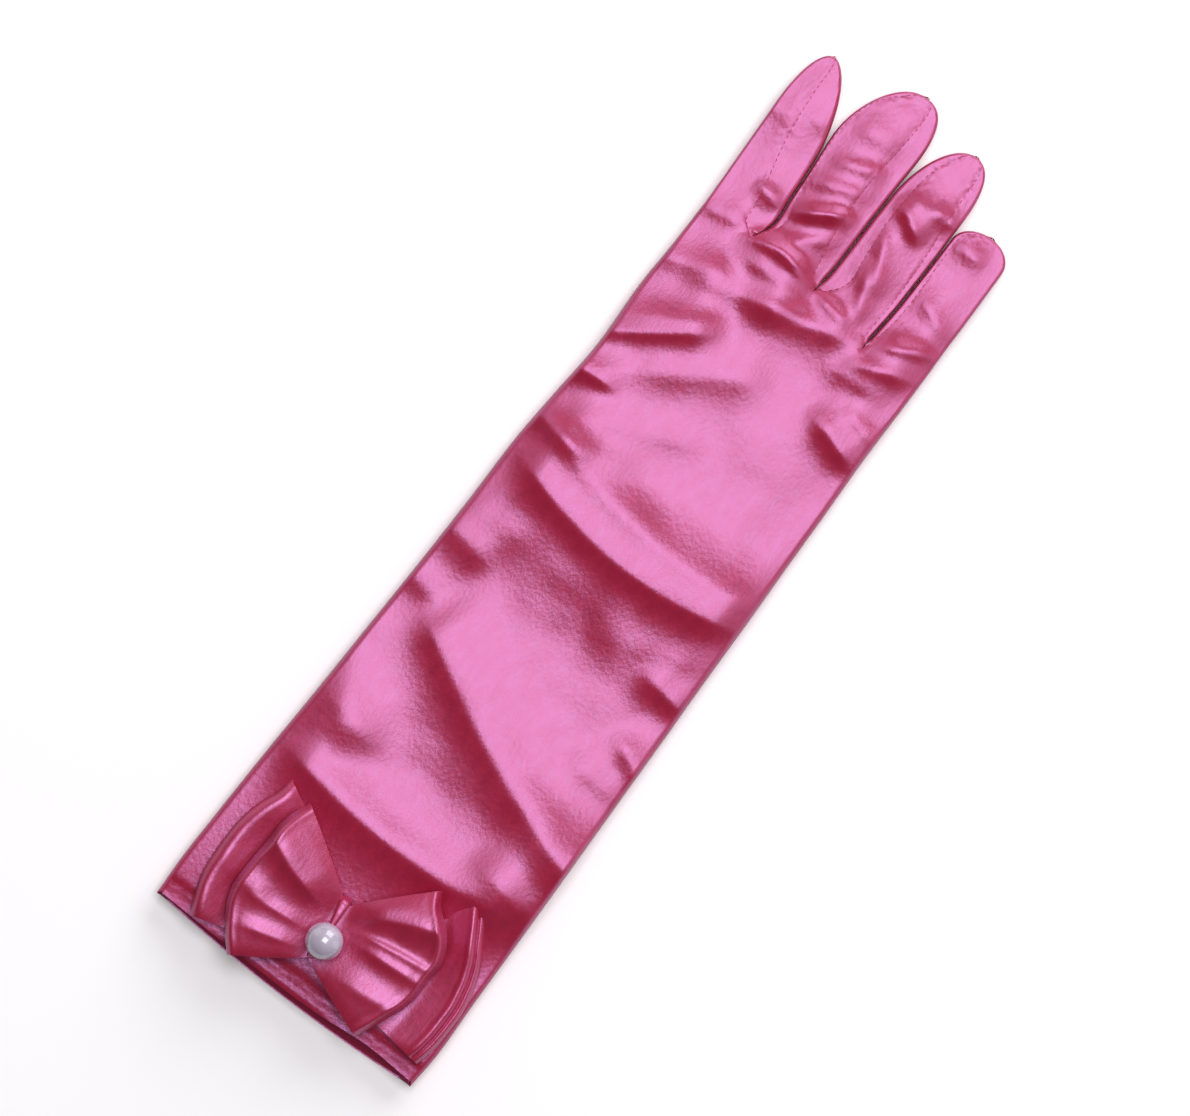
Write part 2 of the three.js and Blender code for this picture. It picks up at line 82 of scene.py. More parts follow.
def to_frame(x, y, z):
    """Plan millimetres to metres in the frame, as an array of points."""
    x, y, z = np.broadcast_arrays(x, y, z)
    return np.stack((x * MM + PLAN_X, y * MM + PLAN_Y, z * MM), axis=-1)


def table(names, rows):
    """A short table as a dictionary of its named columns."""
    return dict(zip(names, np.array(rows, float).T))


def smooth(t):
    """A soft step from 0 to 1 as t goes from 0 to 1."""
    t = np.clip(t, 0.0, 1.0)
    return t * t * (3.0 - 2.0 * t)


def curve(at, places, values):
    """A smooth curve through the rows of a table."""
    at = np.clip(np.asarray(at, float), places[0], places[-1])
    slopes = np.gradient(values, places)
    i = np.clip(np.searchsorted(places, at, side="right") - 1, 0, len(places) - 2)
    span = places[i + 1] - places[i]
    t = (at - places[i]) / span
    rise = values[i + 1] - values[i]
    curl = (slopes[i] * span - rise) * (1 - t) - (slopes[i + 1] * span - rise) * t
    return values[i] + rise * t + t * (1 - t) * curl


# %% [markdown]
# ## The outline
# The sleeve and palm lie between two edge curves. Above them five lines part the fingers, and a
# rounded tip closes each finger. All of it was measured off the photo at one common scale.

# %% Outline of the sleeve and palm, and the lines where the fingers touch
SLEEVE = table(
    ("y", "left", "right", "height"),
    [
        (0, -47.8, 48.0, 10.2),
        (10, -48.3, 48.7, 10.6),
        (30, -48.1, 48.1, 10.8),
        (50, -47.7, 47.6, 10.6),
        (75, -46.9, 46.9, 10.8),
        (100, -46.3, 46.0, 10.8),
        (125, -45.7, 45.2, 11.0),
        (150, -45.4, 44.3, 11.0),
        (175, -45.4, 43.6, 11.0),
        (190, -44.5, 43.0, 11.2),
        (210, -43.2, 42.4, 11.4),
        (232, -44.0, 41.6, 11.2),
        (250, -43.5, 41.5, 10.8),
        (264, -43.4, 41.3, 10.4),
    ],
)
LINES = table(
    ("y", "outer_left", "index_middle", "middle_ring", "ring_little", "outer_right"),
    [
        (250, -43.5, -27.0, -2.6, 20.6, 41.5),
        (257, -43.4, -26.6, -1.8, 20.7, 41.4),
        (264, -43.4, -25.6, -1.0, 21.1, 41.3),
        (270, -43.6, -23.2, -0.4, 21.6, 41.1),
        (280, -44.0, -23.6, -0.3, 21.9, 41.0),
        (290, -44.4, -24.3, -0.3, 22.0, 40.8),
        (303, -44.9, -25.5, -0.1, 21.9, 40.5),
        (330, -45.0, -25.6, 0.0, 21.9, 40.4),
    ],
)
EDGES = ("outer_left", "index_middle", "middle_ring", "ring_little", "outer_right")
SLIT = 0.3  # gap between two fingers
TIP_HALF = 0.05  # half the width that is left at a finger's very tip

# Each finger's tip: where its round end starts, its top, how far its top leans, how blunt it is
FINGERS = {
    "index": dict(start=296.0, top=321.8, lean=-3.4, blunt=1.9),
    "middle": dict(start=303.0, top=328.9, lean=3.6, blunt=2.3),
    "ring": dict(start=300.0, top=323.8, lean=2.4, blunt=2.2),
    "little": dict(start=300.0, top=307.2, lean=0.6, blunt=2.1),
}
# Where the fingers part, from the left edge to the right
CROTCHES = table(("x", "y"), [(-43.4, 262), (-25.7, 264), (-1.2, 262), (20.8, 257), (41.4, 256)])


def finger_edges(number, y):
    """Left and right edge of one finger at the heights y of the plan."""
    tip = list(FINGERS.values())[number]
    left = curve(y, LINES["y"], LINES[EDGES[number]])
    right = curve(y, LINES["y"], LINES[EDGES[number + 1]])
    left = left + (SLIT / 2 if number > 0 else 0)
    right = right - (SLIT / 2 if number < 3 else 0)
    u = np.clip((y - tip["start"]) / (tip["top"] - tip["start"]), 0, 1)
    half = (right - left) / 2 * (1 - u ** tip["blunt"]) ** (1 / tip["blunt"])
    middle = (left + right) / 2 + tip["lean"] * u**1.5
    half = np.maximum(half, TIP_HALF)
    return middle - half, middle + half


# %% [markdown]
# ## Where the cloth swells
# A flattened glove is two layers of cloth with a little air between them: it turns up quickly at its
# outline and is nearly level inside it. So its height follows the distance to the outline, and the
# narrow valleys between the fingers come by themselves.

# %% Distance to the outline
KNOT = 4.0  # how far above the parting of two fingers their slit begins to dip
BELOW_CUFF = 30.0  # the sleeve's edges run on below the cuff, which is open and no edge
STEP = 0.25
FINGER_STEPS = 400
outline = []
for side in ("left", "right"):
    y = np.arange(-BELOW_CUFF, CROTCHES["y"][0], STEP)
    outline.append(np.stack((curve(y, SLEEVE["y"], SLEEVE[side]), y), axis=1))
for number in range(4):
    low = CROTCHES["y"][number : number + 2]
    top = list(FINGERS.values())[number]["top"]
    t = np.linspace(0, 1, FINGER_STEPS)
    for start, side in ((low[0], 0), (low[1], 1)):
        start = start + (KNOT if 0 < number + side < 4 else 0)
        y = start + (top - start) * (1 - (1 - t) ** 1.8)
        outline.append(np.stack((finger_edges(number, y)[side], y), axis=1))
outline = np.concatenate(outline)


def tree_of(points):
    """A search tree over plan points."""
    tree = KDTree(len(points))
    for i, (x, y) in enumerate(points):
        tree.insert((x, y, 0.0), i)
    tree.balance()
    return tree


def distance(tree, x, y):
    """How far each place x, y of the plan is from the nearest point of a tree."""
    flat = [tree.find((a, b, 0.0))[2] for a, b in zip(np.ravel(x), np.ravel(y))]
    return np.array(flat).reshape(np.shape(x))


outline_tree = tree_of(outline)
print("outline points:", len(outline), "width in mm:", round(float(np.ptp(outline[:, 0])), 1))

# %% [markdown]
# ## Gathers and creases
# Satin shows every fold, because a small tilt turns its pale sheen into deep crimson. Each fold is a
# crest between two points of the plan, which falls away on the fingers' side and on the cuff's side,
# each over its own width.

# %% The folds of the back, in millimetres
# Columns: x0, y0 and x1, y1, the crest's two ends; sag of its middle towards the cuff; its height;
# its width on the fingers' side and on the cuff's side; crisp, its radius on the cuff's side; and in
# some rows fan, by which share it is taller and wider at its second end than at its first.
BACK_FOLDS = [
    # cuff's lip
    (-60, -0.6, 60, 0.2, 0.0, 0.5, 1.6, 0.7, 0.4),
    # sleeve, above the bow
    (-48, 59, 46, 58, 5.5, 3.7, 9, 10, 1.2),
    (18, 67, 62, 57, 0.0, 2.2, 8, 6, 3.0),
    (-52, 80, -18, 73, 0.0, 1.3, 8, 7, 4.0),
    (-56, 112, -28, 62, 0.0, 1.5, 9, 8, 3.0),
    # the big diagonal, which fans out to the right
    (-39, 118, 62, 75, 5.0, 4.4, 14, 10, 2.6, 1.2),
    # small marks between the two big gathers
    (24, 141, 50, 137, 0.0, 2.0, 6, 4.5, 2.0),
    (30, 123, 54, 110, 0.0, 1.8, 6, 4.5, 2.0),
    (22, 108, 50, 104, 0.0, 1.0, 6, 5, 2.5),
    (-54, 124, -30, 118, 0.0, 1.0, 6, 4.5, 2.5),
    (-54, 142, -24, 137, 0.0, 1.4, 7, 5, 2.5),
    # the gather at the wrist, and the broader swell under it
    (-46, 172, 49, 169, 9.0, 3.9, 12, 8, 1.4),
    (-52, 152, 20, 147, 0.0, 1.1, 10, 9, 4.0),
    (4, 140, 50, 157, 1.0, 1.4, 9, 8, 4.0),
    (-46, 185, 48, 177, 7.0, 1.7, 8, 6, 2.6),
    # wrist and heel of the hand, thumb side
    (-54, 184.5, -22, 180, 0.0, 1.9, 6, 4, 1.2),
    (-36, 179, -6, 189, 0.0, 0.8, 6, 5, 2.0),
    (-52, 200, -27, 203, 0.0, 1.7, 5, 2.8, 0.8),
    (-40, 190, 4, 206, 1.0, 0.8, 7, 5, 2.5),
    (-54, 197, 8, 235, 1.0, 1.5, 8, 6, 3.0),
    (-52, 210, -12, 238, 1.0, 2.3, 6, 4, 0.9),
    (-48, 220, -12, 242, 1.0, 0.9, 5, 3, 1.5),
    (-52, 240, -18, 253, 0.0, 1.3, 5, 4, 2.0),
    (-38, 242, 4, 256, 0.5, 1.3, 6, 5, 2.0),
    (-48, 262, -26, 266, 0.0, 0.9, 4, 3, 1.2),
    # little finger's side of the back
    (17, 234.5, 45, 225, 0.0, 2.3, 7, 4, 1.4),
    (26, 240.5, 44, 236, 0.0, 0.9, 4, 3, 1.2),
    # knuckles
    (-32, 259.5, 1, 259.5, -6.0, 3.2, 2.6, 4.2, 0.8),
    (-30, 257, 0, 257, -1.0, 1.3, 4, 4, 1.8),
    (-3, 262.5, 16, 259.5, 0.0, 1.4, 3, 2.6, 0.8),
    (-20, 247, 24, 260, 1.0, 2.1, 5, 5, 2.2),
    (20, 259, 44, 270.5, 0.0, 2.1, 4, 3.4, 0.9),
    (16, 250, 44, 261, 0.0, 2.2, 5, 3.8, 1.2),
    (12, 247, 38, 249, 0.0, 1.0, 5, 4, 1.8),
    # little finger
    (22, 282, 42, 273, 0.0, 1.1, 4, 3.4, 1.2),
    (22, 299.5, 36, 299, 0.0, 0.8, 4, 3, 1.4),
    # middle finger
    (-24, 310, -4, 311.5, 0.0, 0.8, 5, 4, 2.4),
    (-23, 295.5, -3, 304, 0.0, 1.4, 3, 3.2, 1.6),
    (-27, 286.5, -1, 296, 0.0, 1.5, 3, 3.8, 1.8),
    (-23, 274.5, -2, 288, -1.0, 2.9, 2.2, 3.4, 0.7),
    (-21, 266.5, -2, 280.5, 0.0, 1.2, 2, 3.0, 1.8),
    # index finger
    (-50, 298.5, -34, 300, 0.0, 0.8, 4, 4, 1.6),
    (-36, 305, -26, 302, 0.0, 0.6, 4, 3.2, 1.4),
    (-36, 278, -23, 275.5, 0.0, 1.3, 3, 2.6, 1.0),
    # ring finger
    (1, 303.5, 18, 300.5, 0.0, 1.0, 4, 3.2, 1.4),
    (1, 301, 17, 291, 0.0, 1.8, 3.5, 2.6, 0.8),
    (3, 294, 15, 269, 0.0, 1.4, 3, 2.4, 0.8),
    (6, 281, 16, 259, 0.0, 1.4, 3, 2.2, 0.8),
    (11, 304, 23, 302.5, 0.0, 1.0, 3, 2.6, 1.0),
]


FADE = 14.0  # a fold fades out over this length at each end,
FADE_SHARE = 0.4  # or over this share of itself if that is less
SOFT = 0.6  # radius of a crest on the fingers' side, as a share of its width there


def relief(x, y, folds):
    """Height that a list of folds adds at the places x, y of the plan."""
    height = np.zeros(np.shape(x))
    for x0, y0, x1, y1, sag, crest, fingers, cuff, crisp, *fan in folds:
        length = math.hypot(x1 - x0, y1 - y0)
        along_x, along_y = (x1 - x0) / length, (y1 - y0) / length
        s = ((x - x0) * along_x + (y - y0) * along_y) / length
        inside = np.clip(s, 0, 1)
        grow = 1 + (fan[0] if fan else 0) * (inside - 0.5)
        off = (y - y0) * along_x - (x - x0) * along_y + 4 * sag * inside * (1 - inside)
        width = np.where(off > 0, fingers, cuff * grow)
        radius = np.where(off > 0, SOFT * fingers, crisp)
        slope = np.exp(-(np.sqrt(off**2 + radius**2) - radius) / width)
        fade = min(FADE_SHARE, FADE / length)
        height += crest * grow * slope * smooth(s / fade) * smooth((1 - s) / fade)
    return height


def ripple(x, y, size, seed):
    """Soft unevenness of loose cloth, about one unit high."""
    flat = [
        noise.noise((a / size, b / size, seed)) for a, b in zip(np.ravel(x), np.ravel(y))
    ]
    return np.array(flat).reshape(np.shape(x))


# %% [markdown]
# ## Seams of the fingers
# A narrow gusset joins the back and palm of each pair of fingers. Its seams run up the fingers, so
# each seam is a share of the finger's width, from 0 at its left edge to 1 at its right.

# %% Seam lines, as shares of a finger's width
SEAMS = {
    "index": table(
        ("up", "left", "right"),
        [(0, 0, 1), (0.05, 0, 0.72), (0.12, 0, 0.64), (0.3, 0, 0.56), (0.5, 0, 0.46),
         (0.7, 0, 0.44), (0.85, 0, 0.48), (1, 0, 0.6)],
    ),
    "middle": table(
        ("up", "left", "right"),
        [(0, 0, 1), (0.05, 0.03, 0.88), (0.12, 0.085, 0.8), (0.3, 0.05, 0.72), (0.5, 0.03, 0.7),
         (0.7, 0.04, 0.73), (0.85, 0.05, 0.73), (1, 0.2, 0.75)],
    ),
    "ring": table(
        ("up", "left", "right"),
        [(0, 0, 1), (0.05, 0.12, 0.94), (0.12, 0.24, 0.92), (0.3, 0.22, 0.91), (0.5, 0.17, 0.88),
         (0.7, 0.17, 0.82), (0.85, 0.16, 0.79), (1, 0.2, 0.85)],
    ),
    "little": table(
        ("up", "left", "right"),
        [(0, 0, 1), (0.1, 0.05, 1), (0.25, 0.1, 1), (0.5, 0.1, 1), (0.7, 0.08, 1),
         (0.85, 0.08, 1), (0.95, 0.12, 1), (1, 0.25, 1)],
    ),
}
FINGER_NAMES = list(FINGERS)
ROWS_UP = 74  # rows of mesh along a finger


def row_shares():
    """Shares of a finger's length at which its mesh rows lie, closer together towards the tip."""
    t = np.linspace(0, 1, ROWS_UP + 1)[:, None]
    return 1 - (1 - t) ** 1.5


def finger_points(number, across):
    """Plan points of a finger's mesh rows, at shares of its width given for each row."""
    top = FINGERS[FINGER_NAMES[number]]["top"]
    low = CROTCHES["y"][number] + across * (CROTCHES["y"][number + 1] - CROTCHES["y"][number])
    y = low + (top - low) * row_shares()
    left, right = finger_edges(number, y)
    return left + (right - left) * across, y


def seam_share(number, side):
    """Where a finger's left or right seam lies in each mesh row."""
    seam = SEAMS[FINGER_NAMES[number]]
    return curve(row_shares(), seam["up"], seam[side])


seam_lines = []
for number in range(4):
    for side in ("left", "right"):
        if side == "left" and number > 0 or side == "right" and number < 3:
            x, y = finger_points(number, seam_share(number, side))
            seam_lines.append(np.stack((x[:, 0], y[:, 0]), axis=1))
seam_tree = tree_of(np.concatenate(seam_lines))
print("seams on the back:", len(seam_lines))

# %% [markdown]
# ## Heights
# The back turns up steeply at the outline and is nearly level inside it. The folds, a loose
# unevenness and the pucker along the seams lie on top of that. The palm side lies flat on the floor,
# apart from its rim and the bump over the tucked thumb.

# %% Heights of the back and of the palm side
WAIST = 6.5  # height at which the back meets the palm side
SQUARE = 2.1  # how square the rim's section is, where 2 is round
# Up is 0 on the sleeve and 1 on the fingers. The crown is a low rise inside the rim.
RIM = table(("up", "rim", "crown", "reach"), [(0, 1.7, 0.9, 22.0), (1, 0.6, 0.5, 10.0)])
# Where the rim of the sleeve starts to turn into that of the fingers, and over what length
KNUCKLES, BLEND = 225.0, 45.0
LIP, LIP_FALL = 7.0, 0.12  # the hem's band falls to the cuff's edge at this slope
BOW_TOP, LOOSENS = 44.0, 30.0  # the cloth is loose above the bow
HEM_LINE = 4.8  # how far the hem's stitches are from the cuff's edge


def back_height(x, y, at_edge):
    """Height of the glove's back, in millimetres, at the places x, y of the plan."""
    off = distance(outline_tree, x, y)
    up = smooth((y - KNUCKLES) / BLEND)
    top = curve(y, SLEEVE["y"], SLEEVE["height"])
    rim, crown, reach = (np.interp(up, RIM["up"], RIM[k]) for k in ("rim", "crown", "reach"))
    swell = (1 - (1 - np.clip(off / rim, 0, 1)) ** SQUARE) ** (1 / SQUARE)
    height = WAIST + (top - crown - WAIST) * swell + crown * smooth(off / reach)
    folds = relief(x, y, BACK_FOLDS) - LIP_FALL * np.clip(LIP - y, 0, LIP + 1)
    loose = smooth((y - BOW_TOP) / LOOSENS)
    folds = folds + loose * (0.5 * ripple(x, y, 27, 3.0) + 0.16 * ripple(x, y, 10, 7.0))
    seam = distance(seam_tree, x, y)
    hem = np.abs(y - HEM_LINE)
    pucker = 0.2 * np.exp(-np.minimum(seam, hem) / 2.0) * ripple(x, y, 1.6, 11.0)
    groove = 0.07 * np.exp(-((seam / 0.6) ** 2)) + 0.14 * np.exp(-((hem / 0.8) ** 2))
    height = height + swell * folds + smooth(off / 1.5) * (pucker - groove)
    return np.where(at_edge, WAIST, height)


THUMB_TOP = 4.0
PALM_RIM, PALM_SQUARE = 5.0, 2.3
thumb_low, thumb_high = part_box("thumb")
thumb_left = (thumb_low.x - PLAN_X) / MM
thumb_right = (thumb_high.x - PLAN_X) / MM
thumb_root = (thumb_low.y - PLAN_Y) / MM
thumb_tip = (thumb_high.y - PLAN_Y) / MM


def palm_height(x, y, at_edge):
    """Height of the glove's underside: flat on the floor, and lifted over the tucked thumb."""
    off = distance(outline_tree, x, y)
    t = np.clip(off / PALM_RIM, 0, 1)
    height = WAIST * (1 - (1 - (1 - t) ** PALM_SQUARE) ** (1 / PALM_SQUARE))
    beside = np.maximum(thumb_left - x, x - thumb_right)
    beyond = np.maximum(thumb_root - y, y - thumb_tip)
    away = np.maximum(beside, beyond)
    lift = THUMB_TOP * (1 - smooth((away - 0.2) / 2.5))
    return np.where(at_edge, WAIST, np.maximum(height, lift))


# %% [markdown]
# ## From plan to mesh
# Both sides of the glove use one grid of rows and columns. Below the fingers the columns run the
# whole width. Above, they split into the four fingers and follow the seams of the gussets. Each mesh
# also keeps the plan as its UV map, so that the weave and the sheen run along the glove.

# %% Grids, meshes and walls
COLUMNS = 28  # columns of mesh in each finger
ROWS = 300  # rows of mesh from the cuff to the fingers
SHELL_WALL, HEM_WALL, BOW_WALL = 0.6, 0.5, 0.45
CUFF_EASE = 24.0  # how far up the sleeve the curve of the cuff's edge is still felt


def clean_object(name, points, faces, plan):
    """An object from points, quads and their plan places, without points that no face uses."""
    used = np.unique(faces)
    renumber = np.zeros(len(points), int)
    renumber[used] = np.arange(len(used))
    mesh = bpy.data.meshes.new(name)
    mesh.from_pydata(points[used].tolist(), [], renumber[faces].tolist())
    mesh.polygons.foreach_set("use_smooth", [True] * len(mesh.polygons))
    corners = np.zeros(len(mesh.loops), int)
    mesh.loops.foreach_get("vertex_index", corners)
    layer = mesh.uv_layers.new(name="plan")
    layer.data.foreach_set("uv", (np.asarray(plan)[used][corners] / 100).ravel())
    mesh.validate()
    body = bmesh.new()
    body.from_mesh(mesh)
    for edge in body.edges:
        edge.smooth = len(edge.link_faces) > 1
    body.to_mesh(mesh)
    body.free()
    made = bpy.data.objects.new(name, mesh)
    bpy.context.collection.objects.link(made)
    return made


def grid_faces(ids, flip=False):
    """Quads between the rows of a grid of points, turned over with flip."""
    a, b, c, d = ids[:-1, :-1], ids[:-1, 1:], ids[1:, 1:], ids[1:, :-1]
    quads = np.stack((a, b, c, d), axis=-1).reshape(-1, 4)
    return quads[:, ::-1] if flip else quads


def thicken(made, millimetres, offset=-1.0):
    """Gives a sheet its wall."""
    wall = made.modifiers.new("wall", "SOLIDIFY")
    wall.thickness = millimetres * MM
    wall.offset = offset
    wall.use_even_offset = False
    return made


def cuff_edge(x, side):
    """How far the cuff's edge lies off y = 0, for the back or the palm side."""
    across = 1 - np.minimum(1, np.abs(x) / HALF_WIDTH) ** 2
    if side == "palm":
        return -CUFF_SLOPE * (0.35 + 0.65 * across)
    return -0.9 * across + 1.6 * np.exp(-(((x - 30) / 14) ** 2))


def column_shares():
    """Columns of one finger, a little closer at its two seams."""
    t = np.linspace(0, 1, COLUMNS + 1)
    return 0.6 * t + 0.4 * (1 - np.cos(math.pi * t)) / 2


def sheet_points(side):
    """Plan points of the sleeve and palm, in rows from the cuff to the fingers."""
    shares = []
    for number in range(4):
        inner = column_shares()
        x = CROTCHES["x"][number] + inner * (CROTCHES["x"][number + 1] - CROTCHES["x"][number])
        shares.append(x if number == 0 else x[1:])
    top_x = np.concatenate(shares)
    share = (top_x - top_x[0]) / (top_x[-1] - top_x[0])
    end = np.interp(top_x, CROTCHES["x"], CROTCHES["y"])
    t = np.linspace(0, 1, ROWS + 1)[:, None]
    y = t * end
    x = curve(y, SLEEVE["y"], SLEEVE["left"])
    x = x + share * (curve(y, SLEEVE["y"], SLEEVE["right"]) - x)
    y = y + (1 - smooth(y / CUFF_EASE)) * cuff_edge(x, side)
    return x, y


def build_side(name, side):
    """The glove's back or palm side as one mesh: sleeve, palm and four finger panels."""
    measure = back_height if side == "back" else palm_height
    x, y = sheet_points(side)
    edge = np.zeros(x.shape, bool)
    edge[:, 0] = edge[:, -1] = True
    blocks = [(x, y, edge)]
    for number in range(4):
        left, right = seam_share(number, "left"), seam_share(number, "right")
        across = left + (right - left) * column_shares()
        fx, fy = finger_points(number, across)
        fedge = np.zeros(fx.shape, bool)
        fedge[-1] = True
        if number == 0:
            fedge[:, 0] = True
        if number == 3:
            fedge[:, -1] = True
        blocks.append((fx, fy, fedge))
    points, plan, index, faces = [], [], [], []
    for number, (x, y, edge) in enumerate(blocks):
        ids = np.arange(x.size).reshape(x.shape) + sum(len(p) for p in points)
        if number:
            shared = slice((number - 1) * COLUMNS, number * COLUMNS + 1)
            ids[0] = index[0][-1, shared]
        index.append(ids)
        points.append(to_frame(x, y, measure(x, y, edge)).reshape(-1, 3))
        plan.append(np.stack((x, y), axis=-1).reshape(-1, 2))
        faces.append(grid_faces(ids, flip=side == "palm"))
    return clean_object(name, np.concatenate(points), np.concatenate(faces), np.concatenate(plan))


hand_back = thicken(build_side("hand_back", "back"), SHELL_WALL)
hand_palm = thicken(build_side("hand_palm", "palm"), SHELL_WALL)
print("back:", len(hand_back.data.polygons), "quads, palm side:", len(hand_palm.data.polygons))

# %% [markdown]
# ## Gussets
# A gusset is one narrow strip. It runs down the side of a finger, turns where the fingers part and
# runs up the side of the next one. Each of its rows goes from the back's seam over the side to the
# seam of the palm side.

# %% Gussets between the fingers
GUSSET_ACROSS = 8


def gusset_leg(number, side):
    """One leg of a gusset: from the seam on the back, over the finger's side, to the palm's seam."""
    edge_share = 1.0 if side == "right" else 0.0
    seam = seam_share(number, side)
    t = np.sin(np.linspace(0, math.pi / 2, GUSSET_ACROSS + 1))
    across = seam + (edge_share - seam) * t
    x, y = finger_points(number, across)
    edge = np.zeros(x.shape, bool)
    edge[:, -1] = True
    edge[-1] = True
    back = to_frame(x, y, back_height(x, y, edge))
    palm = to_frame(x, y, palm_height(x, y, edge))
    return np.concatenate((back, palm[:, -2::-1]), axis=1)


def build_gusset(name, number):
    """The gusset between a finger and the next one, two legs that meet where the fingers part."""
    first = gusset_leg(number, "right")
    second = gusset_leg(number + 1, "left")
    wide = first.shape[1]
    low_x = np.array([CROTCHES["x"][number + 1]])
    low_y = np.array([CROTCHES["y"][number + 1]])
    flag = np.array([False])
    top = to_frame(low_x, low_y, back_height(low_x, low_y, flag))[0]
    base = to_frame(low_x, low_y, palm_height(low_x, low_y, flag))[0]
    post = top + (base - top) * np.linspace(0, 1, wide)[:, None]
    first[0] = post
    second[0] = post
    rows = np.concatenate((first[::-1], second[1:]))
    ids = np.arange(rows.shape[0] * wide).reshape(rows.shape[:2])
    points = rows.reshape(-1, 3)
    plan = (points[:, :2] - (PLAN_X, PLAN_Y)) / MM
    return thicken(clean_object(name, points, grid_faces(ids, flip=True), plan), SHELL_WALL)


gusset_nodes = {
    "fourchette_index_middle": 0,
    "fourchette_middle_ring": 1,
    "fourchette_ring_little": 2,
}
gussets = {node: build_gusset(node + "_satin", n) for node, n in gusset_nodes.items()}
print("gussets:", len(gussets))

# %% [markdown]
# ## The hem
# At the cuff the satin is turned in and stitched down, so a band of it lies inside the mouth. It
# follows the heights of the back and of the palm side, drawn in a little towards the middle.


# %% Hem band inside the mouth
HEM_DEPTH = 5.2
HEM_MIDDLE = 0.3  # the middle of the cuff, across
HEM_HALF = 47.9
HEM_RINGS = 8


def tube_object(name, rings, wall):
    """A tube through rings of points. Points of its last ring that coincide are welded."""
    count = rings.shape[1]
    ids = np.arange(rings.shape[0] * count).reshape(rings.shape[:2])
    ids = np.concatenate((ids, ids[:, :1]), axis=1)
    points = rings.reshape(-1, 3)
    plan = (points[:, :2] - (PLAN_X, PLAN_Y)) / MM
    made = clean_object(name, points, grid_faces(ids), plan)
    body = bmesh.new()
    body.from_mesh(made.data)
    bmesh.ops.remove_doubles(body, verts=body.verts, dist=1e-7)
    body.to_mesh(made.data)
    body.free()
    return thicken(made, wall)


def hem_ring(depth):
    """One ring of the hem, `depth` inside the cuff's edge: over the back, then along the palm side."""
    share = np.sin(np.linspace(-math.pi / 2, math.pi / 2, 61))
    ring = []
    for side, sign in (("back", 1), ("palm", -1)):
        x = HEM_MIDDLE + HEM_HALF * share * sign
        y = depth + 0.5 + cuff_edge(x, side)
        measure = back_height if side == "back" else palm_height
        z = measure(x, y, np.abs(share) > 0.999)
        inward = 0.82 if side == "back" else 0.88 - 0.13 * smooth(depth / 2.6)
        x = HEM_MIDDLE + (x - HEM_MIDDLE) * 0.975
        ring.append(to_frame(x, y, WAIST + (z - WAIST) * inward)[:-1])
    return np.concatenate(ring)


hem_rings = np.stack([hem_ring(depth) for depth in np.linspace(0, HEM_DEPTH, HEM_RINGS)])
cuff_hem = tube_object("cuff_hem_satin", hem_rings, HEM_WALL)

# %% [markdown]
# ## The thumb
# The thumb is tucked under the palm, where it doesn't show. So it is a plain flattened tube, open at
# its root, that fills its place in the frame and narrows to a round tip.

# %% Thumb
THUMB_STRAIGHT = 0.62  # share of the thumb's length below its round tip
THUMB_RINGS = 60
THUMB_MIDDLE = 1.8  # height of the thumb's middle above the floor
THUMB_TALL = 1.75  # from there to its upper or lower side


def thumb_ring(share):
    """One ring of the thumb, from its open root at share 0 to its tip at share 1."""
    u = max(0.0, (share - THUMB_STRAIGHT) / (1 - THUMB_STRAIGHT))
    narrow = math.sqrt(max(0.0, 1 - u**2.4))
    half = 0.5 * (thumb_right - thumb_left) * 0.93 * narrow
    middle = 0.5 * (thumb_right + thumb_left) + 0.7 * (share - 0.5)
    angle = np.linspace(2 * math.pi, 0, 49)[:-1]
    x = middle + half * np.sign(np.cos(angle)) * np.abs(np.cos(angle)) ** 0.75
    y = thumb_root + (thumb_tip - thumb_root) * share
    tall = THUMB_TALL * (0.35 + 0.65 * narrow) * smooth(narrow / 0.3)
    z = THUMB_MIDDLE + tall * np.sign(np.sin(angle)) * np.abs(np.sin(angle)) ** 0.55
    return to_frame(x, y + 0 * x, z)


thumb_shares = np.sin(np.linspace(0, math.pi / 2, THUMB_RINGS))
thumb_rings = np.stack([thumb_ring(share) for share in thumb_shares])
thumb = tube_object("thumb_satin", thumb_rings, HEM_WALL)
print("hem rings:", len(hem_rings), "thumb rings:", len(thumb_rings))

# %% [markdown]
# ## The bow
# Each layer of the bow is a closed ring of cloth, pinched in its middle. Its outline is drawn by the
# outer ends of the two loops, and pleats run from the pinch to those ends.

